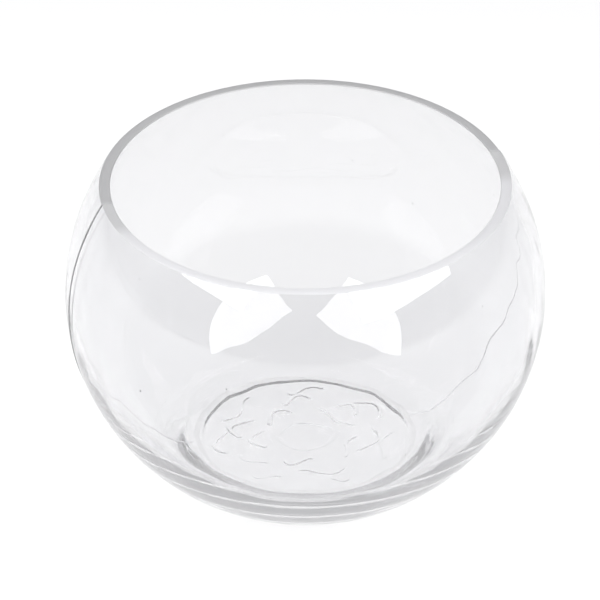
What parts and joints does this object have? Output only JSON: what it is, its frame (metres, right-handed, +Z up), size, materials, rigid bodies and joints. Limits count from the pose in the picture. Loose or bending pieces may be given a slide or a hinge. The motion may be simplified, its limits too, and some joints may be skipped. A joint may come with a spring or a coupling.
{
  "type": "glass bowl",
  "caption": "Round open glass bowl with a wide ground rim and a heavy pushed-up base, as the bait bowl of a wasp trap.",
  "frame": {"origin": "middle of the resting plane under the base, on the bowl's axis", "axes": "+Z up along the bowl's axis, out through the mouth; the mould's parting plane runs 14.8 degrees anticlockwise from +X, 3.5 mm behind the axis"},
  "size_m": [0.1502, 0.15, 0.102],
  "materials": {
    "clear_glass": "clear soda-lime glass, blown in a mould, glossy, with a flat ground rim"
  },
  "bodies": {
    "root": {"glass_bowl": "clear_glass"}
  },
  "joints": []
}
